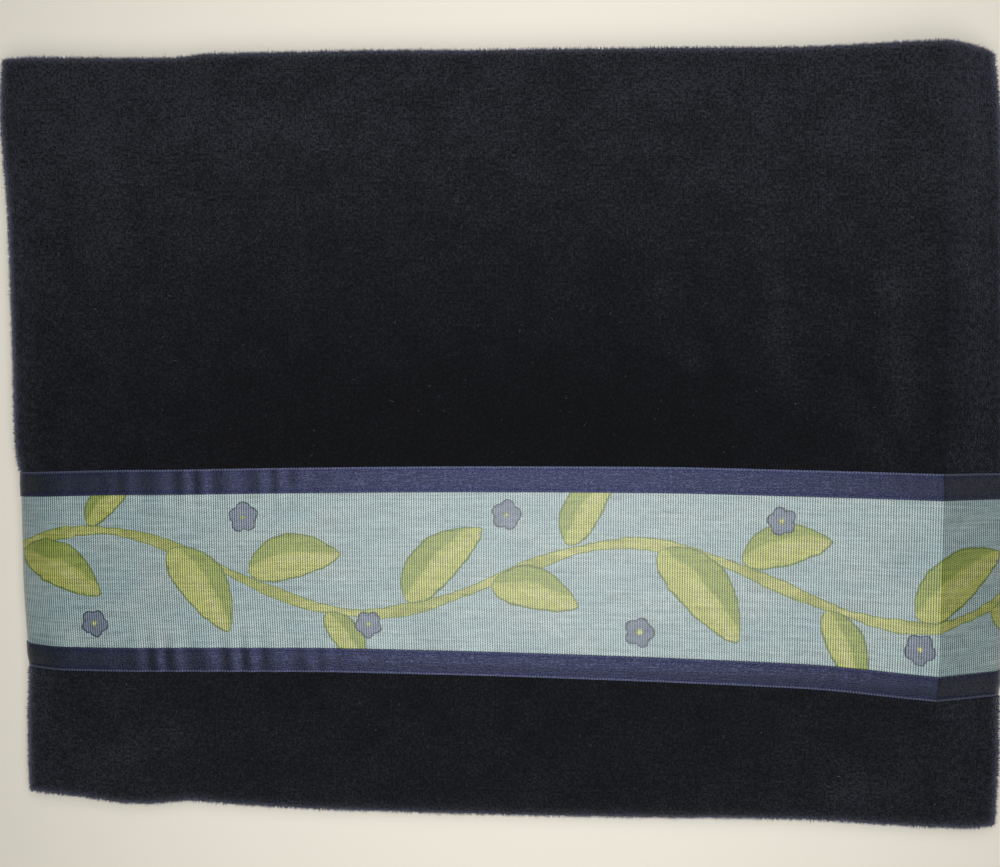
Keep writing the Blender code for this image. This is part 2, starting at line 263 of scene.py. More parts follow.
def puckers(x, y):
    """Short waves along the ribbons, whose length wavers, and which fade out to both ends of a
    stretch left of the middle and with the distance from each ribbon."""
    def wave(x):
        return np.sin(2 * np.pi * x / PUCKER_LENGTH + 1.3 * np.sin(2 * np.pi * x / (3.4 * PUCKER_LENGTH)))

    stretch = ease((x - LEFT - 0.028) / 0.03) * ease((-0.045 - x) / 0.05) + 0.12
    lower = np.exp(-(((y - BAND_Y0 + RIBBON_WIDTH / 2) / RIBBON_WIDTH) ** 2)) * LOWER_PUCKER
    upper = np.exp(-(((y - BAND_Y1 - RIBBON_WIDTH / 2) / RIBBON_WIDTH) ** 2)) * UPPER_PUCKER
    return (np.outer(lower, wave(x) * stretch)
            + np.outer(upper, wave(x + 1.7 * PUCKER_LENGTH) * stretch))


def uneven(x, y):
    """A sum of plane waves 25 to 80 mm long, in directions that are drawn once."""
    draw = np.random.default_rng(4)
    grid_x, grid_y = np.meshgrid(x, y)
    total = np.zeros(grid_x.shape)
    for _ in range(14):
        turn, length, phase = draw.uniform(0, np.pi), draw.uniform(0.025, 0.08), draw.uniform(0, 6.3)
        total += np.sin(2 * np.pi * (grid_x * np.cos(turn) + grid_y * np.sin(turn)) / length + phase)
    return total / np.sqrt(14) * UNEVEN


# %% [markdown]
# ## One function for every layer of the front
# The velvet, the strip and the ribbons all ask the same function for their place, each with
# its own depth below the velvet's nominal face. Layers that lie on top have a negative depth.
# The sewn trims press the pile down, so the velvet itself is a little lower under them.

# %% The layers' heights
PILE_PRESSED = 0.25 * MM
BAND_TOP = 0.30 * MM
RIBBON_THICK = 0.35 * MM
LAYER_GAP = 0.05 * MM
STITCH_DENT = 0.9 * MM


def front_layer(x, y, depth):
    """The place of a layer of the front, on stations x and y."""
    depth = np.broadcast_to(depth, (len(y), len(x)))
    grid_x, grid_y = plan(x, y, depth)
    reach = edge_reach(x, y)
    relief = fold_relief(x, y) + allowance_ridge(x, y) + puckers(x, y) + uneven(x, y)
    height = RIM_LIFT + (EDGE_RISE - depth) * reach + crown(x, y) + relief * reach
    return np.stack([grid_x, grid_y, height], axis=2)


def back_layer(x, y, depth):
    """The back is flat on the table inside its rounded seams."""
    depth = np.broadcast_to(depth, (len(y), len(x)))
    grid_x, grid_y = plan(x, y, depth)
    height = EDGE_RISE - (EDGE_RISE - depth) * edge_reach(x, y)
    return np.stack([grid_x, grid_y, height], axis=2)


def pressed(y):
    """1 under the strip and its ribbons, easing to 0 just outside the ribbons' outer edges."""
    below = (y - (BAND_Y0 - RIBBON_WIDTH) + STITCH_DENT) / STITCH_DENT
    above = ((BAND_Y1 + RIBBON_WIDTH) + STITCH_DENT - y) / STITCH_DENT
    return ease(np.minimum(below, above))


def rounded(distance, radius):
    """How far a cut or folded edge's face has curved in, at a distance from that edge."""
    d = np.clip(distance, 0.0, radius)
    return radius - np.sqrt(np.maximum(radius ** 2 - (radius - d) ** 2, 0.0))


# %% [markdown]
# ## Stations and shells
# A grid needs fine steps only where the cloth turns quickly, such as at a seam or a ribbon's
# edge. The grid helper takes marks with the step wanted at each. A shell is two grids with a
# strip of faces round their rims, which makes a closed piece with its faces outwards.

# %% Grid steps
def graded(*marks):
    """Stations through the marks, each (place, step): a stretch is cut into equal parts of
    about the mean of its two steps."""
    out = []
    for (a, step_a), (b, step_b) in zip(marks, marks[1:]):
        cells = max(1, int(np.ceil((b - a) / ((step_a + step_b) / 2) - 1e-6)))
        out += list(np.linspace(a, b, cells + 1)[:-1])
    return np.array([*out, marks[-1][0]])


ROUNDING = EDGE_ROUND * np.array([0.0, 0.01, 0.04, 0.10, 0.20, 0.35, 0.60])


def across_stations(step):
    """Columns from seam to seam, fine on the rounded sides and at the crease."""
    middle = graded(
        (LEFT + EDGE_ROUND, 1.0 * MM), (LEFT + 0.026, step), (CREASE_X - 0.008, step),
        (CREASE_X - 0.6 * MM, 0.6 * MM), (CREASE_X + 0.6 * MM, 0.6 * MM),
        (CREASE_X + 0.008, min(step, 1.5 * MM)), (RIGHT - EDGE_ROUND, 1.0 * MM),
    )
    return np.concatenate([LEFT + ROUNDING, middle, (RIGHT - ROUNDING)[::-1]])


# %% Closed shells
def closed_shell(name, over, under, uv_x, uv_y):
    """A closed piece between two grids of points. Its map holds cloth coordinates in metres,
    the same for both faces of the cloth."""
    rows, columns = over.shape[:2]
    index = np.arange(rows * columns).reshape(rows, columns)
    a, b, c, d = index[:-1, :-1], index[:-1, 1:], index[1:, 1:], index[1:, :-1]
    cells = np.stack([a, b, c, d], axis=2).reshape(-1, 4)
    near = np.array([*index[0, :-1], *index[:-1, -1], *index[-1, :0:-1], *index[:0:-1, 0]])
    far, lower = np.roll(near, -1), rows * columns
    strip = np.stack([near, near + lower, far + lower, far], axis=1)
    faces = np.concatenate([cells, cells[:, ::-1] + lower, strip])
    points = np.concatenate([over.reshape(-1, 3), under.reshape(-1, 3)])
    made = mesh_piece(name, points, faces)
    flat = np.stack(np.meshgrid(uv_x, uv_y), axis=2).reshape(-1, 2)
    cloth = np.concatenate([flat, flat])
    layer = made.data.uv_layers.new(name="cloth")
    layer.data.foreach_set("uv", cloth[faces.ravel()].ravel())
    return made


def mesh_piece(name, points, faces, smooth_shading=True):
    """A mesh object from whole arrays: one row of points a vertex, one row of indices a face."""
    mesh = bpy.data.meshes.new(name)
    sides = faces.shape[1]
    mesh.vertices.add(len(points))
    mesh.vertices.foreach_set("co", np.asarray(points, np.float32).ravel())
    mesh.loops.add(faces.size)
    mesh.loops.foreach_set("vertex_index", np.asarray(faces, np.int32).ravel())
    mesh.polygons.add(len(faces))
    mesh.polygons.foreach_set("loop_start", np.arange(len(faces), dtype=np.int32) * sides)
    mesh.polygons.foreach_set("use_smooth", np.full(len(faces), smooth_shading))
    mesh.update(calc_edges=True)
    mesh.validate()
    made = bpy.data.objects.new(name, mesh)
    bpy.context.scene.collection.objects.link(made)
    triangles = int(len(faces) * (sides - 2))
    print(f"{name}: {len(points)} points, {triangles} triangles")
    return made


# %% [markdown]
# ## The velvet panels
# The front panel is one sheet of velvet with its mouth edge turned in. The turned edge is
# twice as thick, and its fold is round, so the outer and inner faces curve towards each other
# along a half circle there. The pile is part of the sheet's thickness.

# %% The front panel
VELVET_WALL, TURNED_WALL = 1.2 * MM, 2.2 * MM
ribbon_low, ribbon_high = BAND_Y0 - RIBBON_WIDTH, BAND_Y1 + RIBBON_WIDTH


def wall(x, y):
    """The velvet's thickness: doubled within the seam allowances and the mouth's hem."""
    def turned(distance, width):
        return ease((width + 2 * MM - distance) / (2 * MM))

    side = np.maximum(turned(x - LEFT, SEAM_ALLOWANCE), np.where(x >= CREASE_X, 1.0, 0.0))
    end = np.maximum(turned(y - BOTTOM, SEAM_ALLOWANCE), turned(TOP - y, MOUTH_HEM))
    return VELVET_WALL + (TURNED_WALL - VELVET_WALL) * np.maximum(side[None, :], end[:, None])


front_x = across_stations(2.0 * MM)
front_y = np.concatenate([
    BOTTOM + ROUNDING,
    graded((BOTTOM + EDGE_ROUND, 1.0 * MM), (BOTTOM + 0.02, 2 * MM), (ribbon_low - 3 * MM, 1.5 * MM),
           (ribbon_low - STITCH_DENT, 0.25 * MM), (ribbon_low, 0.25 * MM), (BAND_Y0, 2 * MM),
           (BAND_Y1, 2 * MM), (ribbon_high, 0.25 * MM), (ribbon_high + STITCH_DENT, 0.25 * MM),
           (ribbon_high + 3 * MM, 1.5 * MM), (ribbon_high + 0.02, 2 * MM), (TOP - 6 * MM, 1.5 * MM),
           (TOP - TURNED_WALL / 2, 0.3 * MM), (TOP, 0.12 * MM)),
])
lip = rounded(TOP - front_y, TURNED_WALL / 2 - 0.05 * MM)[:, None]
press = PILE_PRESSED * pressed(front_y)[:, None]
front_face = front_layer(front_x, front_y, press + lip)
front_inner = front_layer(front_x, front_y, wall(front_x, front_y) + press - lip)
velvet_front = closed_shell("velvet_front", front_face, front_inner, front_x, front_y)

# %% The back panel
back_x = across_stations(5.0 * MM)
back_y = np.concatenate([
    BOTTOM + ROUNDING,
    graded((BOTTOM + EDGE_ROUND, 2.0 * MM), (BOTTOM + 0.03, 5 * MM), (TOP - 0.02, 4 * MM),
           (TOP - TURNED_WALL / 2, 0.5 * MM), (TOP, 0.12 * MM)),
])
back_lip = rounded(TOP - back_y, TURNED_WALL / 2 - 0.05 * MM)[:, None]
velvet_back = closed_shell(
    "velvet_back",
    back_layer(back_x, back_y, wall(back_x, back_y) - back_lip),
    back_layer(back_x, back_y, back_lip),
    back_x, back_y,
)


# %% [markdown]
# ## The printed strip and the ribbons
# The strip is ribbed cotton whose raw edges are hidden under the ribbons. A ribbon lies partly
# on the strip and partly on the velvet, so it slopes down by the strip's thickness on its
# outer half. Both long edges of a ribbon are woven, and are only slightly rounded.

# %% The strip
band_x = across_stations(0.8 * MM)
band_y = graded((BAND_Y0 - BAND_TUCK, 0.8 * MM), (BAND_Y1 + BAND_TUCK, 0.8 * MM))
band_under = -(PILE_PRESSED - LAYER_GAP)
printed_strip = closed_shell(
    "printed_strip",
    front_layer(band_x, band_y, -BAND_TOP),
    front_layer(band_x, band_y, -band_under),
    band_x, band_y,
)


# %% The ribbons
def ribbon_layers(inner_edge, outward):
    """The upper and lower face of a ribbon. Its lift eases from the strip's height at the
    strip's raw edge to the pressed velvet's at its outer edge, and both edges are rounded."""
    half = RIBBON_THICK / 2 - 0.02 * MM
    share = np.array([0.0, 0.004, 0.012, 0.03, 0.07, 0.14, 0.22, 0.30, 0.38, 0.44, 0.48, 0.52, 0.57,
                      0.62, 0.70, 0.80, 0.90, 0.955, 0.98, 0.993, 1.0])
    reach = share * RIBBON_WIDTH
    step = ease((reach - BAND_TUCK) / (RIBBON_WIDTH - BAND_TUCK))
    under = (BAND_TOP + LAYER_GAP) * (1 - step) - (PILE_PRESSED - LAYER_GAP) * step
    edge = rounded(np.minimum(reach, RIBBON_WIDTH - reach), half)
    y = inner_edge + outward * reach
    order = slice(None) if outward > 0 else slice(None, None, -1)
    y, under, edge, reach = y[order], under[order], edge[order], reach[order]
    over = front_layer(band_x, y, -(under + RIBBON_THICK - edge)[:, None])
    below = front_layer(band_x, y, -(under + edge)[:, None])
    return over, below, reach


upper_over, upper_below, upper_reach = ribbon_layers(BAND_Y1, 1)
lower_over, lower_below, lower_reach = ribbon_layers(BAND_Y0, -1)
ribbon_above = closed_shell("ribbon_above", upper_over, upper_below, band_x, upper_reach)
ribbon_below = closed_shell("ribbon_below", lower_over, lower_below, band_x, lower_reach)


# %% [markdown]
# ## Small strands: pile, lint and stitches
# At the outline the velvet's pile is seen from the side, as a soft fringe, and loose fibres
# lie on such cloth. A strand is a three-sided tube that is carried along a short path, and
# all strands of one kind are made at once as arrays and kept as one mesh. A stitch is the same tube, thicker.

# %% Finding places on a layer
def normals_of(grid):
    """Unit normals of a grid of points: the cross product of its two directions."""
    normal = np.cross(np.gradient(grid, axis=1), np.gradient(grid, axis=0))
    return normal / np.maximum(np.linalg.norm(normal, axis=2, keepdims=True), 1e-12)


def on_layer(grid, x, y, at_x, at_y):
    """Reads a grid of points or normals at cloth coordinates, between its four neighbours."""
    i = np.clip(np.searchsorted(x, at_x) - 1, 0, len(x) - 2)
    j = np.clip(np.searchsorted(y, at_y) - 1, 0, len(y) - 2)
    s = ((at_x - x[i]) / (x[i + 1] - x[i]))[:, None]
    t = ((at_y - y[j]) / (y[j + 1] - y[j]))[:, None]
    near = grid[j, i] * (1 - s) + grid[j, i + 1] * s
    far = grid[j + 1, i] * (1 - s) + grid[j + 1, i + 1] * s
    return near * (1 - t) + far * t


# %% Tubes
def strands(name, paths, radii):
    """Three-sided tubes along many paths at once. paths is (strands, points, 3) and radii is
    (strands, points). Each end is closed with a triangle."""
    count, points = paths.shape[:2]
    along = np.gradient(paths, axis=1)
    along /= np.maximum(np.linalg.norm(along, axis=2, keepdims=True), 1e-12)
    helper = np.where(np.abs(along[..., 2:]) > 0.9, [[[1.0, 0, 0]]], [[[0, 0, 1.0]]])
    side = np.cross(along, helper)
    side /= np.maximum(np.linalg.norm(side, axis=2, keepdims=True), 1e-12)
    up = np.cross(side, along)
    turns = 2 * np.pi * np.arange(3) / 3
    ring = (side[:, :, None] * np.cos(turns)[None, None, :, None]
            + up[:, :, None] * np.sin(turns)[None, None, :, None])
    tube = paths[:, :, None] + ring * radii[:, :, None, None]
    base = (np.arange(count) * points * 3)[:, None, None]
    ring_at = (np.arange(points - 1) * 3)[None, :, None]
    k, m = np.arange(3)[None, None, :], (np.arange(3)[None, None, :] + 1) % 3
    p, q = base + ring_at + k, base + ring_at + m
    sides = np.concatenate([np.stack([p, q, q + 3], axis=3).reshape(-1, 3),
                            np.stack([p, q + 3, p + 3], axis=3).reshape(-1, 3)])
    start = base[:, 0] + np.array([[2, 1, 0]])
    end = base[:, 0] + (points - 1) * 3 + np.array([[0, 1, 2]])
    return mesh_piece(name, tube.reshape(-1, 3), np.concatenate([sides, start, end]))


# %% The fringe of pile along the outline
PILE_LENGTH, PILE_RADIUS = 0.75 * MM, 0.11 * MM
front_normals = normals_of(front_face)


def pile_fringe(count=22000):
    """Short fibres on the rounded edge of the front: each leaves along the surface's normal,
    leans a little at random, and tapers to its tip."""
    draw = np.random.default_rng(11)
    rim = draw.uniform(0, 1, count)
    inwards = draw.beta(1.0, 3.0, count) * 2.4 * MM
    lengths = np.array([BAG_WIDTH, BAG_HEIGHT, BAG_WIDTH, BAG_HEIGHT])
    side = np.searchsorted(np.cumsum(lengths) / lengths.sum(), rim)
    spread = draw.uniform(0, 1, count)
    at_x = np.choose(side, [LEFT + spread * BAG_WIDTH, RIGHT - inwards,
                            LEFT + spread * BAG_WIDTH, LEFT + inwards])
    at_y = np.choose(side, [BOTTOM + inwards, BOTTOM + spread * BAG_HEIGHT,
                            TOP - inwards * 0.5, BOTTOM + spread * BAG_HEIGHT])
    free = (at_y < ribbon_low - 0.4 * MM) | (at_y > ribbon_high + 0.4 * MM)
    at_x, at_y = at_x[free], at_y[free]
    foot = on_layer(front_face, front_x, front_y, at_x, at_y)
    out = on_layer(front_normals, front_x, front_y, at_x, at_y)
    lean = draw.normal(0, 0.35, out.shape)
    length = PILE_LENGTH * draw.uniform(0.5, 1.15, len(out))[:, None]
    tip = foot + (out + lean) * length
    paths = np.stack([foot - out * 0.1 * MM, tip], axis=1)
    paths[:, :, 2] = np.maximum(paths[:, :, 2], 0.1 * MM)
    radii = np.broadcast_to([PILE_RADIUS, PILE_RADIUS * 0.3], paths.shape[:2])
    return strands("pile_fringe", paths, radii)


fringe = pile_fringe()


# %% Lint on the velvet
def lint(count=420):
    """Loose fibres 0.5 to 3 mm long, mostly short, each curled, that lie on the pile."""
    draw = np.random.default_rng(23)
    at_x = draw.uniform(LEFT + 0.012, RIGHT - 0.012, count)
    at_y = draw.uniform(BOTTOM + 0.010, TOP - 0.010, count)
    free = (at_y < ribbon_low - 4 * MM) | (at_y > ribbon_high + 4 * MM)
    at_x, at_y = at_x[free], at_y[free]
    t = np.linspace(-0.5, 0.5, 7)
    length = draw.gamma(1.1, 0.40, len(at_x))[:, None] * MM + 0.40 * MM
    turn = draw.uniform(0, 2 * np.pi, len(at_x))[:, None] + draw.normal(0, 1.6, (len(at_x), 1)) * t
    path_x = at_x[:, None] + length * t * np.cos(turn)
    path_y = at_y[:, None] + length * t * np.sin(turn)
    spots = on_layer(front_face, front_x, front_y, path_x.ravel(), path_y.ravel())
    out = on_layer(front_normals, front_x, front_y, path_x.ravel(), path_y.ravel())
    hover = (0.08 + 0.15 * (0.25 - t ** 2))[None, :, None] * MM
    paths = spots.reshape(-1, 7, 3) + out.reshape(-1, 7, 3) * hover
    radii = np.repeat(draw.uniform(0.02, 0.045, (len(at_x), 1)) * MM, 7, axis=1)
    return strands("lint", paths, radii)


lint_fibres = lint()

# %% Stitches along the ribbons
STITCH_LENGTH, STITCH_PITCH, STITCH_INSET = 2.2 * MM, 2.9 * MM, 1.0 * MM


def stitches():
    """Machine stitches in navy thread, half sunk in the ribbons, in a row along each edge."""
    rows = []
    for over, inner, outward in ((upper_over, BAND_Y1, 1), (lower_over, BAND_Y0, -1)):
        layer_y = np.sort(inner + outward * (upper_reach if outward > 0 else lower_reach))
        centres = np.arange(LEFT + 3 * MM, RIGHT - 3 * MM, STITCH_PITCH)
        t = np.linspace(-0.5, 0.5, 5)
        path_x = centres[:, None] + t * STITCH_LENGTH
        for inset in (STITCH_INSET, RIBBON_WIDTH - STITCH_INSET):
            path_y = np.full(path_x.size, inner + outward * inset)
            spots = on_layer(over, band_x, layer_y, path_x.ravel(), path_y)
            out = on_layer(normals_of(over), band_x, layer_y, path_x.ravel(), path_y)
            rise = np.tile((0.07 - 1.2 * t ** 4 * 1.6), len(centres))[:, None] * MM
            rows.append((spots + out * rise).reshape(-1, 5, 3))
    paths = np.concatenate(rows)
    radii = np.broadcast_to(np.array([0.6, 1.0, 1.1, 1.0, 0.6]) * 0.11 * MM, paths.shape[:2])
    return strands("ribbon_stitches", paths, radii)


thread = stitches()


# %% [markdown]
# ## Painting the strip
# The strip carries a printed vine with pointed leaves and round blossoms. A picture file
# could hold it, but here each motif is a formula: the signed distance from its edge, which is
# positive inside. Distances are stored on the strip's points, and the shader turns them into
# sharp painted shapes, because a distance can be cut at zero far finer than the grid.

# %% The vine's line
VINE_WAVES, VINE_SWING, VINE_HALF = 1.85, 0.24, 1.9 * MM
grid_u, grid_v = np.meshgrid(band_x, band_y - (BAND_Y0 + BAND_Y1) / 2)


def vine(u):
    """The middle line of the stem: a slow sine with a weaker, longer one on top."""
    phase = 2 * np.pi * VINE_WAVES * (u / BAG_WIDTH + 0.5)
    return BAND_WIDTH * (VINE_SWING * np.sin(phase + 0.5) + 0.05 * np.sin(0.43 * phase + 2.0))


def vine_turn(u):
    """The direction of the stem, from its slope."""
    return np.arctan2(vine(u + 0.5 * MM) - vine(u - 0.5 * MM), 1.0 * MM)


stem_away = np.abs(grid_v - vine(grid_u)) * np.cos(vine_turn(grid_u))
stem_inside = VINE_HALF * (1 + 0.25 * np.sin(grid_u / (7 * MM))) - stem_away


# %% Leaves and blossoms
Leaf = namedtuple("Leaf", "across off turn length width")


def place_leaves():
    """A leaf on each side of the stem in turn, tilted away from it by about 45 degrees. Where
    the stem swings to one side of the strip, the leaf on the other side has more room."""
    draw = np.random.default_rng(31)
    leaves = []
    for k, across in enumerate(np.linspace(-0.005, 0.975, 13)):
        u = (across - 0.5) * BAG_WIDTH
        side = 1 if k % 2 else -1
        room = 1 - side * vine(u) / (0.5 * BAND_WIDTH)
        turn = vine_turn(u) + side * np.radians(draw.uniform(34, 48))
        length = (20 + 17 * np.clip(room, 0.3, 1.4)) * MM * draw.uniform(0.94, 1.06)
        leaves.append(Leaf(u, vine(u), turn, length, length * draw.uniform(0.46, 0.52)))
    return leaves


def leaf_field(leaf):
    """The signed distance from a leaf's edge, and how far along and across it a point lies.
    Its half width swells quickly from the stalk and runs out to a point at the tip."""
    du, dv = grid_u - leaf.across, grid_v - leaf.off
    along = (du * np.cos(leaf.turn) + dv * np.sin(leaf.turn)) / leaf.length
    aside = (-du * np.sin(leaf.turn) + dv * np.cos(leaf.turn)) / (leaf.width / 2)
    aside = aside - 0.35 * np.sin(np.pi * np.clip(along, 0, 1))
    s = np.clip((along - 0.10) / 0.90, 0.0, 1.0)
    half = 2.05 * s ** 0.55 * (1 - s) ** 0.75
    inside = (half - np.abs(aside)) * leaf.width / 2 * 0.85
    ends = np.minimum(along - 0.10, 1.0 - along) * leaf.length
    return np.minimum(inside, np.where(ends < 0, ends, inside)), along, aside


leaf_inside = np.full(grid_u.shape, -0.02)
leaf_along, leaf_aside = np.zeros(grid_u.shape), np.zeros(grid_u.shape)
for leaf in place_leaves():
    inside, along, aside = leaf_field(leaf)
    owns = inside > leaf_inside
    leaf_inside = np.where(owns, inside, leaf_inside)
    leaf_along, leaf_aside = np.where(owns, along, leaf_along), np.where(owns, aside, leaf_aside)
print(f"leaves cover {np.mean(leaf_inside > 0):.0%} of the strip")

# %% Blossoms: five round petals each
Bloom = namedtuple("Bloom", "across up radius turn")
BLOOMS = [
    Bloom(0.085, 0.16, 5.4, 0.2), Bloom(0.245, 0.85, 5.8, 0.9), Bloom(0.370, 0.16, 5.2, 0.4),
    Bloom(0.510, 0.86, 5.6, 1.1), Bloom(0.640, 0.15, 5.6, 0.0), Bloom(0.775, 0.85, 5.2, 0.7),
    Bloom(0.905, 0.15, 5.6, 0.3),
]
bloom_inside = np.full(grid_u.shape, -0.02)
bloom_middle = np.full(grid_u.shape, -0.02)
for bloom in BLOOMS:
    du = grid_u - (bloom.across - 0.5) * BAG_WIDTH
    dv = grid_v - (bloom.up - 0.5) * BAND_WIDTH
    petals = 0.78 + 0.22 * np.abs(np.cos(2.5 * (np.arctan2(dv, du) + bloom.turn)))
    bloom_inside = np.maximum(bloom_inside, bloom.radius * MM * petals - np.hypot(du, dv))
    bloom_middle = np.maximum(bloom_middle, 1.1 * MM - np.hypot(du, dv))


def store(piece, name, values):
    """Keeps one number a point, the same for both faces of the cloth."""
    attribute = piece.data.attributes.new(name, "FLOAT", "POINT")
    attribute.data.foreach_set("value", np.tile(values.ravel(), 2).astype(np.float32))


for name, values in (("stem", stem_inside / MM), ("leaf", leaf_inside / MM), ("leaf_along", leaf_along),
                     ("leaf_aside", leaf_aside), ("bloom", bloom_inside / MM),
                     ("bloom_middle", bloom_middle / MM)):
    store(printed_strip, name, values)


# %% [markdown]
# ## A small kit for shader nodes
# Materials are trees of nodes. The helpers keep the cells short: one adds a node and feeds its
# inputs, and others name the few bits of arithmetic that painting and weaving need.

# %% Node helpers
def add(tree, kind, feed=None, **settings):
    """Adds a node, sets its own settings and feeds its inputs with numbers or other sockets."""
    made = tree.nodes.new(kind)
    for name, value in settings.items():
        setattr(made, name, value)
    for key, value in (feed or {}).items():
        if isinstance(value, bpy.types.NodeSocket):
            tree.links.new(value, made.inputs[key])
        else:
            made.inputs[key].default_value = value
    return made


def sums(tree, operation, *values):
    """One step of arithmetic on numbers or sockets."""
    return add(tree, "ShaderNodeMath", dict(enumerate(values)), operation=operation).outputs[0]


def ramp(tree, value, low, high, to_low=0.0, to_high=1.0):
    """Maps low..high onto to_low..to_high, easing at both ends."""
    return add(tree, "ShaderNodeMapRange", {0: value, 1: low, 2: high, 3: to_low, 4: to_high},
               interpolation_type="SMOOTHSTEP").outputs[0]


def blend(tree, share, first, second):
    """Mixes two colours by a share from 0 to 1."""
    node = add(tree, "ShaderNodeMix", {"Factor": share}, data_type="RGBA")
    for socket, colour in ((node.inputs[6], first), (node.inputs[7], second)):
        if isinstance(colour, bpy.types.NodeSocket):
            tree.links.new(colour, socket)
        else:
            socket.default_value = (*colour, 1.0)
    return node.outputs[2]


def shade(tree, colour, factor):
    """Makes a colour lighter or darker by a factor."""
    grey = add(tree, "ShaderNodeCombineColor", {0: factor, 1: factor, 2: factor}).outputs[0]
    node = add(tree, "ShaderNodeMix", {"Factor": 1.0}, data_type="RGBA", blend_type="MULTIPLY")
    for socket, value in ((node.inputs[6], colour), (node.inputs[7], grey)):
        if isinstance(value, bpy.types.NodeSocket):
            tree.links.new(value, socket)
        else:
            socket.default_value = (*value, 1.0)
    return node.outputs[2]


def noise(tree, where, scale, stretch=(1, 1, 1), detail=2.0, roughness=0.5):
    """Cloudy noise, with its place scaled apart in each direction."""
    placed = add(tree, "ShaderNodeMapping", {"Vector": where, "Scale": stretch}).outputs[0]
    return add(tree, "ShaderNodeTexNoise", {
        "Vector": placed, "Scale": scale, "Detail": detail, "Roughness": roughness,
    }).outputs[0]


def wave(tree, value, pitch):
    """A sine of a length, from 0 to 1, with a given pitch in metres."""
    turned = sums(tree, "MULTIPLY", value, 2 * np.pi / pitch)
    return sums(tree, "MULTIPLY_ADD", sums(tree, "SINE", turned), 0.5, 0.5)


def new_finish(name, **constants):
    """A material with one Principled shader, whose fixed values sit on its own sockets."""
    material = bpy.data.materials.new(name)
    material.use_nodes = True
    tree = material.node_tree
    shader = tree.nodes["Principled BSDF"]
    for key, value in constants.items():
        shader.inputs[key.replace("_", " ")].default_value = value
    cloth = add(tree, "ShaderNodeUVMap", uv_map="cloth").outputs[0]
    parts = add(tree, "ShaderNodeSeparateXYZ", {0: cloth})
    return material, tree, shader, cloth, parts.outputs[0], parts.outputs[1]


# %% [markdown]
# ## Velvet
# Velvet is dark from straight above, because one looks down between its upright fibres, and
# lighter at a slant, where their sides show. The shader's sheen does this. How the pile's last
# brushing left it is a number kept on each point, with painted sheen added to it along the
# folds, towards the sides and past the crease, and noise adds patches and single tufts.

# %% The pile's tone, with painted sheen
def nap_and_painted_sheen(x, y):
    """A tone for the pile: darkest at mid height and lighter towards the mouth. Painted sheen
    makes it lighter towards both sides, along the folds where the cloth stands up, and past
    the crease where it falls away."""
    up = smooth([0.0, 0.12, 0.26, 0.50, 0.70, 0.88, 1.0],
                [0.54, 0.38, 0.30, 0.14, 0.42, 0.80, 0.92], y / BAG_HEIGHT + 0.5)
    aside = smooth([0.0, 0.10, 0.30, 0.60, 0.85, 1.0], [0.36, 0.25, 0.05, 0.0, 0.17, 0.30],
                   x / BAG_WIDTH + 0.5)
    return up[:, None] + aside[None, :] + 0.24 * np.abs(fold_relief(x, y)) / (0.05 * CROWN_HEIGHT)


def painted_rim_sheen(x, y):
    """Painted sheen: 1 on the outline and fading over a millimetre, where one looks at the pile's side."""
    to_side = np.minimum(x - LEFT, RIGHT - x)[None, :]
    to_end = np.minimum(y - BOTTOM, (TOP - y) * 1.6)[:, None]
    return np.exp(-np.minimum(to_side, to_end) / (1.1 * MM))


# The front's tone holds painted sheen; the back's tone is even.
store(velvet_front, "nap_and_sheen", nap_and_painted_sheen(front_x, front_y))
# The rim numbers place painted sheen along the outline of each panel.
store(velvet_front, "rim", painted_rim_sheen(front_x, front_y))
store(velvet_back, "nap_and_sheen", np.full((len(back_y), len(back_x)), 0.45))
store(velvet_back, "rim", painted_rim_sheen(back_x, back_y))


# %% The velvet's finish
VELVET_DARK, VELVET_LIGHT = (0.0040, 0.0042, 0.0052), (0.0280, 0.0300, 0.0375)
# The colour of the painted sheen along the outline.
VELVET_RIM_SHEEN = (0.128, 0.136, 0.180)


def velvet_finish():
    material, tree, shader, cloth, u, v = new_finish(
        "velvet_pile", Roughness=0.92, Sheen_Weight=0.35, Sheen_Roughness=0.28,
        Sheen_Tint=(0.60, 0.66, 0.95, 1.0), Specular_IOR_Level=0.05,
    )
    patches = noise(tree, cloth, 60, detail=6.0, roughness=0.75)
    tufts = noise(tree, cloth, 1.0, stretch=(1250, 1050, 1), detail=3.0, roughness=0.68)
    clumps = noise(tree, cloth, 420, detail=2.0, roughness=0.6)
    weave = sums(tree, "MULTIPLY", wave(tree, u, 0.86 * MM), wave(tree, v, 0.90 * MM))
    grain = sums(tree, "MULTIPLY_ADD", weave, 0.20, ramp(tree, tufts, 0.34, 0.68, 0.05, 0.95))
    grain = sums(tree, "MULTIPLY", grain, ramp(tree, clumps, 0.35, 0.65, 0.75, 1.25))
    # This stored tone includes painted sheen along the folds, the sides and past the crease.
    nap_and_sheen = add(tree, "ShaderNodeAttribute", attribute_name="nap_and_sheen").outputs["Fac"]
    brushed_and_sheen = sums(tree, "MULTIPLY", nap_and_sheen, ramp(tree, patches, 0.30, 0.70, 0.70, 1.35))
    share = sums(tree, "MULTIPLY", grain, brushed_and_sheen)
    body = blend(tree, share, VELVET_DARK, VELVET_LIGHT)
    # Painted sheen: a light blue mixed into the colour along the outline, broken up by the tufts.
    rim = add(tree, "ShaderNodeAttribute", attribute_name="rim").outputs["Fac"]
    tip = sums(tree, "MULTIPLY", rim, ramp(tree, tufts, 0.34, 0.66, 0.35, 1.25))
    tree.links.new(blend(tree, tip, body, VELVET_RIM_SHEEN), shader.inputs["Base Color"])
    bump = add(tree, "ShaderNodeBump", {"Height": grain, "Strength": 0.55, "Distance": 0.35 * MM})
    tree.links.new(bump.outputs[0], shader.inputs["Normal"])
    return material


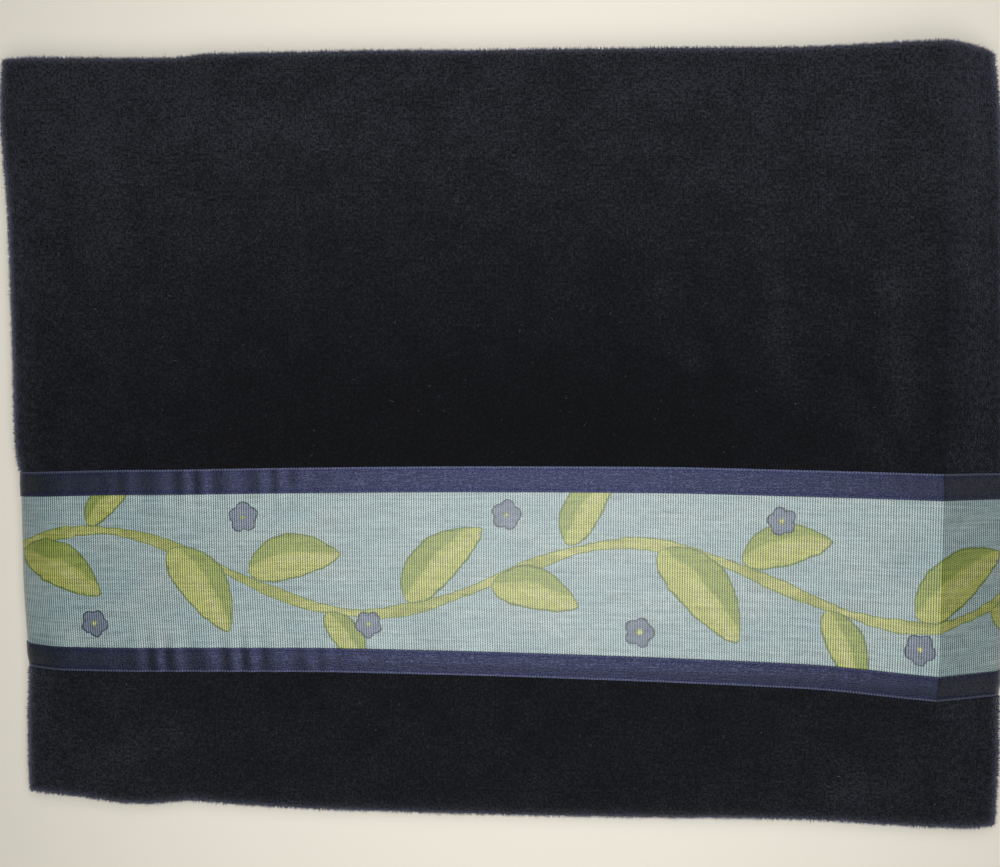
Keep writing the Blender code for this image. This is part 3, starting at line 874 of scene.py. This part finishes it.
velvet = velvet_finish()
for piece in (velvet_front, velvet_back):
    piece.data.materials.append(velvet)


# %% Plain strands: pile tips, lint and thread
def plain_strand(name, colour, light, roughness=0.8):
    """One fibre's finish: two shades mixed by noise along the object."""
    material = bpy.data.materials.new(name)
    material.use_nodes = True
    tree = material.node_tree
    shader = tree.nodes["Principled BSDF"]
    shader.inputs["Roughness"].default_value = roughness
    place = add(tree, "ShaderNodeTexCoord").outputs["Object"]
    share = noise(tree, place, 300)
    tree.links.new(blend(tree, share, colour, light), shader.inputs["Base Color"])
    return material


fringe.data.materials.append(plain_strand("pile_tips", (0.028, 0.029, 0.046), (0.160, 0.162, 0.245)))
lint_fibres.data.materials.append(plain_strand("lint_fibre", (0.06, 0.065, 0.075), (0.26, 0.27, 0.29)))
thread.data.materials.append(plain_strand("navy_thread", (0.016, 0.018, 0.035), (0.030, 0.033, 0.060), 0.5))


# %% [markdown]
# ## Satin ribbon
# The ribbon's face is satin: its long floating threads reflect like a rough mirror, so it is
# bright where it faces the lamp and nearly black where it tips away. Its woven edges are a
# deeper blue with a light tick at each turn of the weft.

# %% The ribbon's finish
def ribbon_finish():
    material, tree, shader, cloth, u, v = new_finish(
        "ribbon_satin", IOR=1.50, Specular_IOR_Level=1.0, Specular_Tint=(0.42, 0.46, 1.0, 1.0),
    )
    grain = noise(tree, cloth, 1.0, stretch=(900, 2600, 1), detail=2.5, roughness=0.7)
    floats = noise(tree, cloth, 1.0, stretch=(170, 1500, 1), detail=2.0, roughness=0.6)
    to_edge = sums(tree, "MINIMUM", v, sums(tree, "SUBTRACT", RIBBON_WIDTH, v))
    deep = ramp(tree, to_edge, 0.9 * MM, 2.4 * MM, 1.0, 0.0)
    strength = ramp(tree, v, 0.3 * RIBBON_WIDTH, 0.7 * RIBBON_WIDTH, 0.20, 1.0)
    ticks = sums(tree, "MULTIPLY", ramp(tree, to_edge, 0.45 * MM, 0.95 * MM, 1.0, 0.0),
                 ramp(tree, wave(tree, u, 1.02 * MM), 0.30, 0.85, 0.25, 1.0))
    ticks = sums(tree, "MULTIPLY", ticks, strength)
    speck = ramp(tree, sums(tree, "MULTIPLY_ADD", floats, 0.5, grain), 0.58, 0.86)
    body = blend(tree, speck, (0.0030, 0.0042, 0.0050), (0.020, 0.025, 0.029))
    edged = blend(tree, sums(tree, "MULTIPLY", deep, 0.6), body, (0.005, 0.007, 0.030))
    tree.links.new(blend(tree, ticks, edged, (0.085, 0.098, 0.140)), shader.inputs["Base Color"])
    tree.links.new(ramp(tree, grain, 0.36, 0.56, 0.48, 0.27), shader.inputs["Roughness"])
    height = sums(tree, "MULTIPLY_ADD", floats, 0.4, sums(tree, "MULTIPLY_ADD", ticks, 0.4, speck))
    bump = add(tree, "ShaderNodeBump", {"Height": height, "Strength": 1.0, "Distance": 0.075 * MM})
    tree.links.new(bump.outputs[0], shader.inputs["Normal"])
    return material


satin = ribbon_finish()
for piece in (ribbon_above, ribbon_below):
    piece.data.materials.append(satin)


# %% [markdown]
# ## Printed cotton
# The cloth is ribbed: thick threads run up it, with small dark gaps between them. The print
# is put on in the order in which it was painted: a pale ground, the stem, the leaves and then
# the blossoms, each with a darker rim where the wet colour gathered.

# %% The strip's finish
def painted(tree, ground, distance, wobble, body, rim, soft=0.12, rim_width=0.55):
    """Lays one motif over the ground. Its distance in millimetres, made ragged by noise, is
    cut at zero, and the last part of it before the edge takes the rim's colour."""
    ragged = sums(tree, "ADD", distance, wobble)
    inside = ramp(tree, ragged, -soft, soft)
    at_rim = ramp(tree, ragged, 0.4 * rim_width, rim_width, 1.0, 0.0)
    colour = blend(tree, at_rim, body, rim)
    return blend(tree, inside, ground, colour)


RIB_PITCH, WEFT_PITCH = 0.87 * MM, 0.68 * MM


def print_finish():
    material, tree, shader, cloth, u, v = new_finish(
        "printed_cotton", Roughness=0.33, Specular_IOR_Level=1.0,
    )

    def stored(name):
        return add(tree, "ShaderNodeAttribute", attribute_name=name).outputs["Fac"]

    wash = noise(tree, cloth, 42, stretch=(1, 1.6, 1), detail=3.0, roughness=0.6)
    fine = noise(tree, cloth, 420, detail=3.0, roughness=0.7)
    coarse = noise(tree, cloth, 190, detail=2.0, roughness=0.6)
    wobble = sums(tree, "MULTIPLY_ADD", fine, 1.1, sums(tree, "MULTIPLY_ADD", coarse, 1.5, -1.3))
    ground = blend(tree, ramp(tree, wash, 0.32, 0.70), (0.255, 0.350, 0.370), (0.300, 0.385, 0.388))
    stem_body = blend(tree, ramp(tree, wash, 0.4, 0.6), (0.27, 0.30, 0.070), (0.38, 0.40, 0.13))
    laid = painted(tree, ground, stored("stem"), wobble, stem_body, (0.15, 0.21, 0.05))
    aside, along = stored("leaf_aside"), stored("leaf_along")
    streak = sums(tree, "MULTIPLY_ADD", wash, 0.8, sums(tree, "SUBTRACT", aside, 0.45))
    leaf_body = blend(tree, ramp(tree, streak, 0.02, 0.16), (0.360, 0.390, 0.105), (0.225, 0.285, 0.062))
    middle = sums(tree, "MULTIPLY_ADD", wobble, 0.35, sums(tree, "ADD", aside, 0.16))
    pale = ramp(tree, sums(tree, "ABSOLUTE", middle), 0.10, 0.17, 1.0, 0.0)
    pale = sums(tree, "MULTIPLY", pale, ramp(tree, along, 0.35, 0.50))
    leaf_body = blend(tree, sums(tree, "MULTIPLY", pale, 0.6), leaf_body, (0.42, 0.43, 0.18))
    laid = painted(tree, laid, stored("leaf"), wobble, leaf_body, (0.115, 0.170, 0.042), rim_width=0.80)
    bloom_body = blend(tree, ramp(tree, wash, 0.35, 0.65), (0.112, 0.148, 0.205), (0.160, 0.195, 0.262))
    laid = painted(tree, laid, stored("bloom"), wobble, bloom_body, (0.022, 0.040, 0.066), rim_width=0.80)
    laid = painted(tree, laid, stored("bloom_middle"), wobble, (0.46, 0.47, 0.19), (0.20, 0.24, 0.09))
    ribs = wave(tree, u, RIB_PITCH)
    uneven_v = sums(tree, "MULTIPLY_ADD", fine, 0.50 * MM, v)
    dots = wave(tree, sums(tree, "MULTIPLY_ADD", u, WEFT_PITCH / (2 * RIB_PITCH), uneven_v), WEFT_PITCH)
    slubs = noise(tree, cloth, 1.0, stretch=(60, 1400, 1), detail=2.0)
    cover = sums(tree, "MULTIPLY_ADD", ribs, 0.46, sums(tree, "MULTIPLY", dots, 0.30))
    cover = sums(tree, "MULTIPLY_ADD", fine, 0.30, sums(tree, "MULTIPLY_ADD", slubs, 0.40, cover))
    tree.links.new(shade(tree, laid, ramp(tree, cover, 0.40, 1.05, 0.20, 1.52)),
                   shader.inputs["Base Color"])
    bump = add(tree, "ShaderNodeBump", {"Height": cover, "Strength": 0.60, "Distance": 0.20 * MM})
    tree.links.new(bump.outputs[0], shader.inputs["Normal"])
    return material


printed_strip.data.materials.append(print_finish())


# %% [markdown]
# ## Putting the pieces on the model
# Each piece of cloth stands for one solid: it rides on the model's root, and that solid is
# hidden. The strands ride on the root as well.

# %% Riding and replacing
for piece, node, slot in (
    (velvet_front, "front_panel", "velvet"), (velvet_back, "back_panel", "velvet"),
    (printed_strip, "print_band", "printed_cloth"), (ribbon_above, "upper_ribbon", "ribbon"),
    (ribbon_below, "lower_ribbon", "ribbon"),
):
    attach(piece, "root")
    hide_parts(node)
for piece, slot in ((fringe, "velvet"), (lint_fibres, "velvet"), (thread, "ribbon")):
    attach(piece, "root")


# %% [markdown]
# ## Table, light and camera
# The pouch lies on a pale table under a wide ceiling light, which leaves almost no shadow. The
# satin mirrors that light, so its size and place matter more than its strength. The camera
# hangs close above, looks straight down and leans very slightly.

# %% The table
def table_finish():
    material = bpy.data.materials.new("table_paper")
    material.use_nodes = True
    tree = material.node_tree
    shader = tree.nodes["Principled BSDF"]
    place = add(tree, "ShaderNodeTexCoord").outputs["Object"]
    cloud = noise(tree, place, 5, detail=2.0)
    tree.links.new(blend(tree, cloud, (0.76, 0.725, 0.640), (0.81, 0.775, 0.695)),
                   shader.inputs["Base Color"])
    shader.inputs["Roughness"].default_value = 0.75
    return material


TABLE_HALF, TABLE_DROP = 1.6, 0.2 * MM
corners = np.array([[-1, -1], [1, -1], [1, 1], [-1, 1]]) * TABLE_HALF
table = mesh_piece("table", np.column_stack([corners, np.full(4, -TABLE_DROP)]),
                   np.array([[0, 1, 2, 3]]), smooth_shading=False)
table.data.materials.append(table_finish())


# %% Lights
def soft_box(name, place, width, depth, power, colour):
    """A flat light that faces straight down."""
    data = bpy.data.lights.new(name, "AREA")
    data.shape, data.size, data.size_y = "RECTANGLE", width, depth
    data.energy, data.color = power, colour
    lamp = bpy.data.objects.new(name, data)
    bpy.context.scene.collection.objects.link(lamp)
    lamp.location = place
    return lamp


soft_box("soft_box", (0.02, 0.02, 0.37), 0.42, 0.84, 2.95, (1.0, 0.99, 0.965))
world = bpy.data.worlds.new("room")
world.use_nodes = True
world.node_tree.nodes["Background"].inputs["Color"].default_value = (0.93, 0.95, 1.0, 1.0)
world.node_tree.nodes["Background"].inputs["Strength"].default_value = 0.03
bpy.context.scene.world = world
bpy.context.scene.view_settings.view_transform = "Standard"

# %% Camera
PHOTO_WIDTH, FOCAL_PIXELS, SENSOR = 1000, 900.0, 36.0
camera_data = bpy.data.cameras.new("camera")
camera_data.sensor_width, camera_data.lens = SENSOR, SENSOR * FOCAL_PIXELS / PHOTO_WIDTH
camera = bpy.data.objects.new("camera", camera_data)
camera.location = (0.0216, 0.0154, 0.3291)
camera.rotation_euler = np.radians([-2.36, 3.23, 0.15])
bpy.context.scene.collection.objects.link(camera)
bpy.context.scene.camera = camera
